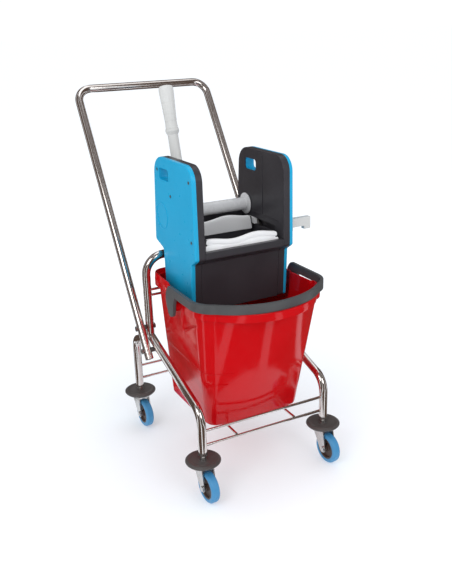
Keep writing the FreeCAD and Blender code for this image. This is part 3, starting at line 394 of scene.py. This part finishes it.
def graduation_marks():
    """Raised bars beside the nose that mark two filling heights."""
    points, faces = [], []
    for z, left, right in MARKS:
        share = (z - BASE_Z) / (BRIM_Z - BASE_Z)
        ring = list(zip(plan_ring(BASE), plan_ring(BRIM)))
        path = [(blend(a[0], b[0], share), blend(a[1], b[1], share)) for a, b in ring]
        path = [point for point in path if left <= point[0] <= right and point[1] < -120]
        path.sort()
        rings = []
        for x, y in path:
            rings.append([shift(x + 0.6, y + 1, z - 1.4), shift(x - 0.5, y - 0.9, z - 0.9),
                          shift(x - 0.5, y - 0.9, z + 0.9), shift(x + 0.6, y + 1, z + 1.4)])
        append_part(points, faces, *loft(rings))
    return points, faces


def make_boss(side, sign):
    """Flat round boss under the rim, around a bail pin."""
    low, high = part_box("bail_pins")
    pin_y = (low[1] + high[1]) / 2
    pin_z = (low[2] + high[2]) / 2
    reach = SKIRT["front"] * MM
    profile = (
        (reach - 0.014, BOSS_ROUND), (reach - 0.002, BOSS_ROUND - 0.0005), (reach, BOSS_ROUND - 0.0025),
    )
    angles = [math.tau * i / 40 for i in range(40)]
    rings = []
    for x, radius in profile:
        rings.append([Vector((x * sign, pin_y + radius * math.cos(angle), pin_z + radius * math.sin(angle)))
                      for angle in angles])
    points, faces = loft(rings)
    make_piece(f"bucket_boss_{side}", points, faces, "bucket_red", "bucket_body")


def make_bucket():
    points, faces = loft(bucket_rings())
    make_piece("bucket_shell", points, faces, "bucket_red", "bucket_body", "bucket", 34)
    for side, sign in (("left", -1), ("right", 1)):
        make_boss(side, sign)
    points, faces = graduation_marks()
    make_piece("graduation_marks", points, faces, "bucket_red", "bucket_body")


make_bucket()

# ---------------------------------------------------------------- wringer panels
JOINT_X, INNER_X, FACE_X, SHEET = 124.0, 107.0, 134.0, 3.0
LOW_Z, TOP_Z, FRONT_Y = 436.0, 797.0, -131.0
PANEL = [
    (FRONT_Y + 34, LOW_Z, 8), (FRONT_Y + 25, LOW_Z + 125, 6), (FRONT_Y, LOW_Z + 141, 8), (FRONT_Y, TOP_Z, 38),
    (92, TOP_Z, 45), (113, LOW_Z + 141, 10), (64, LOW_Z + 126, 8), (60, LOW_Z, 8),
]
HAND_HOLE = [(4, 742, 8), (4, 771, 8), (61, 771, 8), (61, 742, 8)]
GUIDE_SLOT = [(-87, 604, 0.5), (-87, 620, 0.5), (40, 620, 0.5), (40, 604, 0.5)]
SHAFT_Y, SHAFT_Z = 57.0, 650.0
COVER_ROUND, WALL_ROUND = 4.5, 1.5  # edge radii of a blue cover and of a side wall
COLLAR = 2.5  # thickness of the collar round the hand hole
# low y, high y, low z and high z of the ribs on a side wall: one upright, two beside the guide slot
RIBS = ((-29, -25, 634, 786), (-105, 26, 634, 637), (-105, 26, 586, 589))
RIB_HEIGHT = 1.2


def rounded_outline(corners, inset=0.0, steps=9):
    """Polygon with rounded corners, drawn in by inset; radii shrink at outer and grow at inner corners."""
    points = [Vector((y, z)) for y, z, radius in corners]
    count = len(points)
    outline = []
    for i in range(count):
        before = (points[i] - points[i - 1]).normalized()
        after = (points[(i + 1) % count] - points[i]).normalized()
        turn = before.x * after.y - before.y * after.x
        inward_before, inward_after = Vector((before.y, -before.x)), Vector((after.y, -after.x))
        radius = max(0.4, corners[i][2] + (inset if turn > 0 else -inset))
        half = math.acos(max(-1, min(1, before.dot(after)))) / 2
        middle_way = (inward_before + inward_after).normalized()
        corner = points[i] + middle_way * (inset / math.cos(half))
        reach = radius * math.tan(half)
        side = -1 if turn > 0 else 1
        centre = corner - before * reach + inward_before * radius * side
        start = -inward_before * side
        for k in range(steps + 1):
            angle = -side * 2 * half * k / steps
            spoke = Matrix.Rotation(angle, 2) @ start
            outline.append((centre + spoke * radius)[:])
    return outline


def round_hole(y, z, radius, steps=40):
    return [(y + radius * math.cos(-math.tau * i / steps), z + radius * math.sin(-math.tau * i / steps))
            for i in range(steps)]


class Panel:
    """A dished side panel as one closed mesh: rounded outer edge, holes, edge wall, inner face."""

    def __init__(self, sign, plate_x, joint_x):
        self.sign, self.plate, self.joint = sign, plate_x, joint_x
        self.out = 1 if plate_x > joint_x else -1
        self.mesh = bmesh.new()

    def ring(self, outline, x):
        verts = [self.mesh.verts.new(shift(x * self.sign, y, z)) for y, z in outline]
        for i, vert in enumerate(verts):
            self.mesh.edges.new((vert, verts[(i + 1) % len(verts)]))
        return verts

    def skin(self, rings):
        for first, second in zip(rings, rings[1:]):
            for i in range(len(first)):
                j = (i + 1) % len(first)
                self.mesh.faces.new((first[i], first[j], second[j], second[i]))

    def fill(self, rings):
        edges = []
        for verts in rings:
            for i, vert in enumerate(verts):
                edges.append(self.mesh.edges.get((vert, verts[(i + 1) % len(verts)])))
        bmesh.ops.triangle_fill(self.mesh, edges=edges, use_beauty=True, use_dissolve=False)

    def build(self, radius, holes, collar=None):
        """holes are outlines; collar is (outline, wider outline, how far in it reaches)."""
        steps = 6
        face = []
        for k in range(steps + 1):
            angle = math.pi / 2 * k / steps
            x = self.plate - self.out * radius * (1 - math.sin(angle))
            face.append(self.ring(rounded_outline(PANEL, radius * (1 - math.cos(angle))), x))
        joint_outer = self.ring(rounded_outline(PANEL), self.joint)
        joint_inner = self.ring(rounded_outline(PANEL, SHEET), self.joint)
        back_x = self.plate - self.out * SHEET
        back = self.ring(rounded_outline(PANEL, SHEET + 0.01), back_x)
        self.skin([joint_outer] + face)
        self.skin([joint_outer, joint_inner, back])
        front_rings, back_rings = [face[-1]], [back]
        for outline in holes:
            front_rings.append(self.ring(outline, self.plate))
            back_rings.append(self.ring(outline, back_x))
            self.skin([front_rings[-1], back_rings[-1]])
        if collar:
            hole, wider, end_x = collar
            near = self.ring(hole, self.plate)
            far = self.ring(hole, end_x)
            far_wide = self.ring(wider, end_x)
            near_wide = self.ring(wider, back_x)
            self.skin([near, far, far_wide, near_wide])
            front_rings.append(near)
            back_rings.append(near_wide)
        self.fill(front_rings)
        self.fill(back_rings)
        points = [vert.co.copy() for vert in self.mesh.verts]
        self.mesh.verts.index_update()
        faces = [tuple(vert.index for vert in face.verts) for face in self.mesh.faces]
        self.mesh.free()
        return points, faces


def make_panels():
    hand = rounded_outline(HAND_HOLE)
    for side, sign in (("left", -1), ("right", 1)):
        points, faces = Panel(sign, FACE_X, JOINT_X).build(
            COVER_ROUND, [], (hand, rounded_outline(HAND_HOLE, -COLLAR), INNER_X + SHEET + 0.4))
        cover = make_piece(f"{side}_cover_shell", points, faces, "cover_blue", "press_housing",
                           f"{side}_cover", 40)
        weighted_normals(cover)
        shaft = round_hole(SHAFT_Y, SHAFT_Z, 12)
        points, faces = Panel(sign, INNER_X, JOINT_X).build(
            WALL_ROUND, [hand, rounded_outline(GUIDE_SLOT), shaft])
        wall = make_piece(f"{side}_wall_shell", points, faces, "charcoal_plastic", "press_housing",
                          f"{side}_side_wall", 40)
        weighted_normals(wall)
        make_cover_ring(side, sign)
        make_wall_ribs(side, sign)


def make_cover_ring(side, sign):
    """Low raised ring around the shaft on the cover."""
    section = ((34, -0.5), (34, 0.6), (33.4, 1.0), (31.6, 1.0), (31, 0.6), (31, -0.5))
    rings = []
    for i in range(96):
        angle = math.tau * i / 96
        rings.append([shift((FACE_X + lift) * sign, SHAFT_Y + radius * math.cos(angle),
                            SHAFT_Z + radius * math.sin(angle)) for radius, lift in section])
    rings.append(rings[0])
    points, faces = loft(rings, close_ends=False)
    make_piece(f"{side}_cover_ring", points, faces, "cover_blue", "press_housing")


def block(low, high, edge):
    """A box with bevelled edges, as points and faces."""
    work = bmesh.new()
    bmesh.ops.create_cube(work, size=1)
    size = [high[i] - low[i] for i in range(3)]
    for vert in work.verts:
        vert.co = Vector([(low[i] + high[i]) / 2 + vert.co[i] * size[i] for i in range(3)])
    bmesh.ops.bevel(work, geom=list(work.edges), offset=edge, segments=3, affect="EDGES", profile=0.5)
    work.verts.index_update()
    points = [shift(*vert.co) for vert in work.verts]
    faces = [tuple(vert.index for vert in face.verts) for face in work.faces]
    work.free()
    return points, faces


def make_slot_backs():
    """Dark plates inside the side housings, behind the guide slots and the jaw pins."""
    for side, sign in (("left", -1), ("right", 1)):
        low_x, high_x = sorted((121.7 * sign, 122.9 * sign))
        points, faces = block((low_x, -100, 590), (high_x, 52, 634), 0.4)
        make_piece(f"{side}_slot_back", points, faces, "charcoal_plastic", "press_housing")


def make_wall_ribs(side, sign):
    """Stiffening ribs on the inner face of a side wall, above and below the guide slot."""
    low_x, high_x = sorted(((INNER_X - RIB_HEIGHT) * sign, (INNER_X + 1) * sign))
    points, faces = [], []
    for low_y, high_y, low_z, high_z in RIBS:
        append_part(points, faces, *block((low_x, low_y, low_z), (high_x, high_y, high_z), 0.7))
    make_piece(f"{side}_wall_ribs", points, faces, "charcoal_plastic", "press_housing")


make_panels()
make_slot_backs()


# ---------------------------------------------------------------- jaws
WAVE_HEIGHT, WAVE_LENGTH = 8.0, 130.0


def wave(x, phase):
    """Drop of a jaw's edge below its highest line."""
    half = WAVE_HEIGHT / 2
    return half * math.sin(math.tau * (x - phase) / WAVE_LENGTH) - half


def wavy_jaw(name, section, phase, body, node):
    """A ribbed jaw: section points are (y, z, how much they follow the wave, end of the rib in x)."""
    steps = 84
    rings = []
    for i in range(steps + 1):
        share = 2 * i / steps - 1
        ring = []
        for y, z, follow, end in section:
            x = share * end
            ring.append(shift(x, y, z + wave(x, phase) * follow))
        rings.append(ring)
    points, faces = loft(rings)
    make_piece(name, points, faces, "white_plastic", body, node, 30)


def make_jaws():
    rear = -105.0
    fixed = [
        (rear - 11.7, 587, 0, 99), (rear - 11.7, 604, 0.8, 99), (rear - 11.0, 605.6, 0.9, 98.4),
        (rear - 9.4, 606, 1, 97), (rear - 8.2, 605.2, 1, 94), (rear - 8.2, 608.4, 1, 93),
        (rear - 9.6, 609.6, 1, 96.5), (rear - 10, 611, 1, 97), (rear - 10, 617.6, 1, 96),
        (rear - 9.2, 619.4, 1, 94.5), (rear - 7.6, 620, 1, 93),
        (rear - 1.6, 620, 1, 93), (rear, 618.4, 1, 94), (rear, 604, 0.4, 96), (rear - 2, 577, 0, 96),
        (rear - 11, 577, 0, 106), (rear - 11, 586, 0, 106),
    ]
    wavy_jaw("fixed_jaw_ribs", fixed, 10, "press_housing", "fixed_jaw")
    low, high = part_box("moving_jaw")
    y0, y1 = (low[1] - WHEELBASE_Y) / MM, (high[1] - WHEELBASE_Y) / MM
    moving = [
        (y0 + 1.5, 591, 0, 98), (y0, 592.5, 0, 98.6), (y0, 606, 0.2, 99), (y0, 611, 0.4, 96.5),
        (y0, 613, 0.4, 98.5), (y0, 622, 0.7, 96), (y0, 624, 0.8, 94.5), (y0, 631.6, 1, 93),
        (y0 + 0.8, 633.4, 1, 92), (y0 + 2.4, 634, 1, 91), (y1 - 2, 634, 1, 91), (y1, 632, 1, 92),
        (y1, 591, 0, 98),
    ]
    wavy_jaw("moving_jaw_ribs", moving, -5, "press_jaw", "moving_jaw")


make_jaws()


# ---------------------------------------------------------------- lever
LEVER_X, LEVER_LEAN = -72, math.radians(14.7)
GROOVES, GROOVE_DEPTH = (213.5, 228, 243, 258, 273), 0.7
FLUTES, FLUTE_DEPTH = 12, 0.45


def make_grip():
    """Moulded grip: ring grooves and soft flutes over a swelling profile, leaning with the lever."""
    profile = [(209, 15.8), (210, 16.4), (214, 15.6), (222, 14.9), (242, 15.6), (262, 16.6), (281, 17.7),
               (300, 18.5), (308, 18.4), (312, 17.7), (315, 15.4), (316, 12.0)]
    heights = []
    for (z, radius), (next_z, next_radius) in zip(profile, profile[1:]):
        count = max(1, round((next_z - z) / 1.5))
        for i in range(count):
            share = i / count
            heights.append((blend(z, next_z, share), blend(radius, next_radius, share)))
    heights.append(profile[-1])
    foot = shift(LEVER_X, SHAFT_Y, SHAFT_Z)
    lean = Matrix.Rotation(-LEVER_LEAN, 3, "X")
    rings = []
    for z, radius in heights:
        depth = sum(GROOVE_DEPTH * math.exp(-((z - groove) / 0.9) ** 2) for groove in GROOVES)
        flute = FLUTE_DEPTH * ease(z, 214, 224) * (1 - ease(z, 296, 308))
        ring = []
        for i in range(96):
            angle = math.tau * i / 96
            reach = radius - depth - flute * (0.5 + 0.5 * math.cos(FLUTES * angle)) ** 3
            local = Vector((reach * math.cos(angle), reach * math.sin(angle), z)) * MM
            ring.append(foot + lean @ local)
        rings.append(ring)
    points, faces = loft(rings)
    make_piece("grip_moulding", points, faces, "lever_white_painted_shade", "press_lever",
               "lever_grip", 40)


make_grip()


# ---------------------------------------------------------------- edges of CAD nodes
EDGE_WIDTHS = {
    "front_apron": 1.5, "rear_wall": 1.2, "jaw_carrier": 0.8,
    "side_hook": 3.0, "hanging_hooks": 1.5, "bail": 1.8, "rail_lugs": 0.5,
}


def weld(piece):
    """Join the points that the tessellation holds twice."""
    modifier = piece.modifiers.new("weld", "WELD")
    modifier.merge_threshold = 0.01 * MM


def round_edges(piece, width, segments=3, angle=30):
    """Weld the tessellation, clear its flat triangles, then bevel the hard edges."""
    weld(piece)
    flat = piece.modifiers.new("flat", "DECIMATE")
    flat.decimate_type = "DISSOLVE"
    flat.angle_limit = math.radians(0.4)
    edge = piece.modifiers.new("edge", "BEVEL")
    edge.width = width
    edge.segments = segments
    edge.limit_method = "ANGLE"
    edge.angle_limit = math.radians(angle)
    edge.use_clamp_overlap = True
    edge.harden_normals = True


def clean_shading(piece, angle=35):
    """Weld the tessellation and part it only at real edges, so that round faces reflect evenly."""
    weld(piece)
    part = piece.modifiers.new("part", "EDGE_SPLIT")
    part.split_angle = math.radians(angle)


for name, piece in frame["nodes"].items():
    if name in EDGE_WIDTHS:
        round_edges(piece, EDGE_WIDTHS[name] * MM)
    else:
        clean_shading(piece)


# ---------------------------------------------------------------- studio
FLOOR_SIZE = 400.0  # metres, so that the floor's edge lies on the horizon
# height on the sky and its colour there
SKY = (
    (0.0, (1.0, 1.0, 1.0)), (0.06, (0.98, 0.99, 1.0)),
    (0.25, (0.66, 0.68, 0.71)), (1.0, (0.78, 0.80, 0.84)),
)


def lay_floor():
    """White floor that gives off its own light, less of it near the trolley: a painted soft shadow there,
    which also lets the lamps' own shadows show.
    """
    bpy.ops.mesh.primitive_plane_add(size=FLOOR_SIZE, location=(0, 0, 0))
    floor = bpy.context.object
    floor.name = "floor"
    material, tree, shader = new_material("floor")
    shader.inputs["Base Color"].default_value = (0.62, 0.66, 0.70, 1)
    shader.inputs["Roughness"].default_value = 0.8
    shader.inputs["Specular IOR Level"].default_value = 0.0
    shader.inputs["Emission Color"].default_value = (1.0, 0.985, 0.97, 1)
    place = tree.nodes.new("ShaderNodeTexCoord")
    distance = tree.nodes.new("ShaderNodeVectorMath")
    distance.operation = "LENGTH"
    tree.links.new(place.outputs["Object"], distance.inputs[0])
    # emission weaker near the middle of the floor: painted soft shadow round the trolley
    glow_with_painted_shadow = span(tree, distance.outputs["Value"], 0.32, 0.52, 0.2, 0.9)
    tree.links.new(glow_with_painted_shadow, shader.inputs["Emission Strength"])
    floor.data.materials.append(material)


def light_sky():
    """Even white sky that is greyer overhead."""
    world = bpy.data.worlds.new("studio")
    world.use_nodes = True
    tree = world.node_tree
    background = tree.nodes["Background"]
    place = tree.nodes.new("ShaderNodeTexCoord")
    split = tree.nodes.new("ShaderNodeSeparateXYZ")
    ramp = tree.nodes.new("ShaderNodeValToRGB")
    tree.links.new(place.outputs["Generated"], split.inputs["Vector"])
    tree.links.new(split.outputs["Z"], ramp.inputs["Fac"])
    elements = ramp.color_ramp.elements
    while len(elements) < len(SKY):
        elements.new(0.5)
    for element, (position, colour) in zip(elements, SKY):
        element.position = position
        element.color = (*colour, 1)
    tree.links.new(ramp.outputs["Color"], background.inputs["Color"])
    background.inputs["Strength"].default_value = 1.05
    bpy.context.scene.world = world


def lamp(name, place, aim, size, power, colour):
    data = bpy.data.lights.new(name, "AREA")
    data.shape = "RECTANGLE"
    data.size, data.size_y = size
    data.energy = power
    data.color = colour
    light = bpy.data.objects.new(name, data)
    light.location = place
    light.rotation_euler = (Vector(aim) - Vector(place)).to_track_quat("-Z", "Y").to_euler()
    bpy.context.collection.objects.link(light)


def reflection_screen():
    """Dark panels round the set, seen only by glossy reflections; the gaps leave bright strips."""
    profile = ((0.40, 0.012), (3.0, 0.03), (3.2, 0.3), (3.2, 2.4), (1.0, 4.2))
    panels, share, steps, turned = 7, 0.80, 8, 0.72
    points, faces = [], []
    for panel in range(panels):
        start = len(points)
        for i in range(steps + 1):
            angle = math.tau * (panel + share * i / steps + turned) / panels
            for radius, z in profile:
                points.append((radius * math.cos(angle), radius * math.sin(angle) + WHEELBASE_Y, z))
        for i in range(steps):
            for k in range(len(profile) - 1):
                corner = start + len(profile) * i + k
                faces.append((corner, corner + len(profile), corner + len(profile) + 1, corner + 1))
    mesh = bpy.data.meshes.new("screen")
    mesh.from_pydata(points, [], faces)
    screen = bpy.data.objects.new("screen", mesh)
    bpy.context.collection.objects.link(screen)
    material, tree, shader = new_material("screen")
    shader.inputs["Base Color"].default_value = (0.10, 0.068, 0.052, 1)
    shader.inputs["Roughness"].default_value = 1.0
    shader.inputs["Specular IOR Level"].default_value = 0.0
    mesh.materials.append(material)
    screen.visible_camera = False
    screen.visible_diffuse = False
    screen.visible_shadow = False
    screen.visible_transmission = False


lay_floor()
light_sky()
reflection_screen()
MIDDLE = (0.0, 0.0, 0.45)
lamp("key", (-2.2, -1.6, 2.4), MIDDLE, (1.4, 1.4), 26, (1.0, 0.99, 0.97))
lamp("front", (0.3, -2.6, 1.9), MIDDLE, (1.2, 1.2), 14, (1.0, 1.0, 1.0))
lamp("top", (0.2, 0.4, 2.9), MIDDLE, (2.0, 2.0), 10, (1.0, 1.0, 1.0))

# ---------------------------------------------------------------- camera
CAMERA_PLACE = (-0.7942, -1.5914 + WHEELBASE_Y, 1.0835)
CAMERA_AZIMUTH, CAMERA_ELEVATION, CAMERA_ROLL = -26.776, 19.979, -1.910
CAMERA_LENS = 44.54


def add_camera():
    data = bpy.data.cameras.new("camera")
    data.lens = CAMERA_LENS
    data.sensor_width = 36.0
    camera = bpy.data.objects.new("camera", data)
    turn = Matrix.Rotation(math.radians(CAMERA_AZIMUTH), 4, "Z")
    tilt = Matrix.Rotation(math.radians(90 - CAMERA_ELEVATION), 4, "X")
    roll = Matrix.Rotation(math.radians(CAMERA_ROLL), 4, "Z")
    camera.matrix_world = Matrix.Translation(CAMERA_PLACE) @ turn @ tilt @ roll
    bpy.context.collection.objects.link(camera)
    bpy.context.scene.camera = camera


add_camera()
bpy.context.scene.view_settings.view_transform = "Standard"
